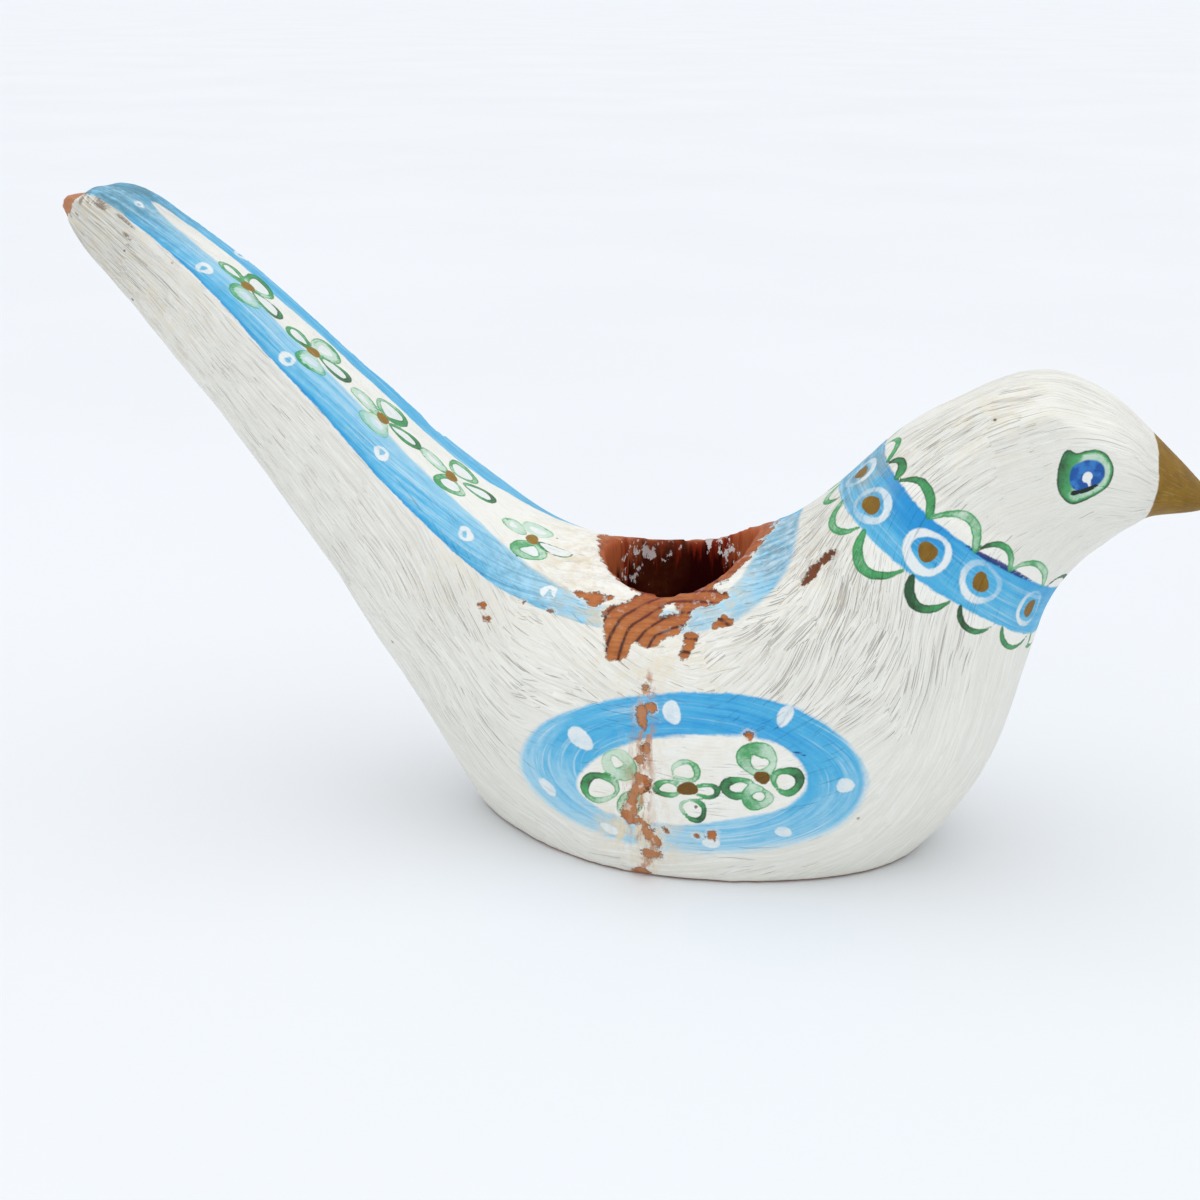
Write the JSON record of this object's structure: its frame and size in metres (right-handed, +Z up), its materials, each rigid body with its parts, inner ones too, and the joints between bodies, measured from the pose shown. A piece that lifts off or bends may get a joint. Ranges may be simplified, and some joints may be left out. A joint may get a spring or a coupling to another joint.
{
  "type": "carved bird candlestick",
  "caption": "Carved wooden bird on a flat sole, tail raised high, with a candle socket bored upright into its back and simple painted folk ornament.",
  "frame": {"origin": "on the flat sole, straight below the axis of the candle socket", "axes": "+X towards the beak, +Z up, XZ is the bird's plane of symmetry"},
  "size_m": [0.1624, 0.0468, 0.0916],
  "materials": {
    "painted_wood": "brushed off-white paint over wood, worn bare round the socket"
  },
  "bodies": {
    "root": {"carved_bird": "painted_wood"}
  },
  "joints": []
}
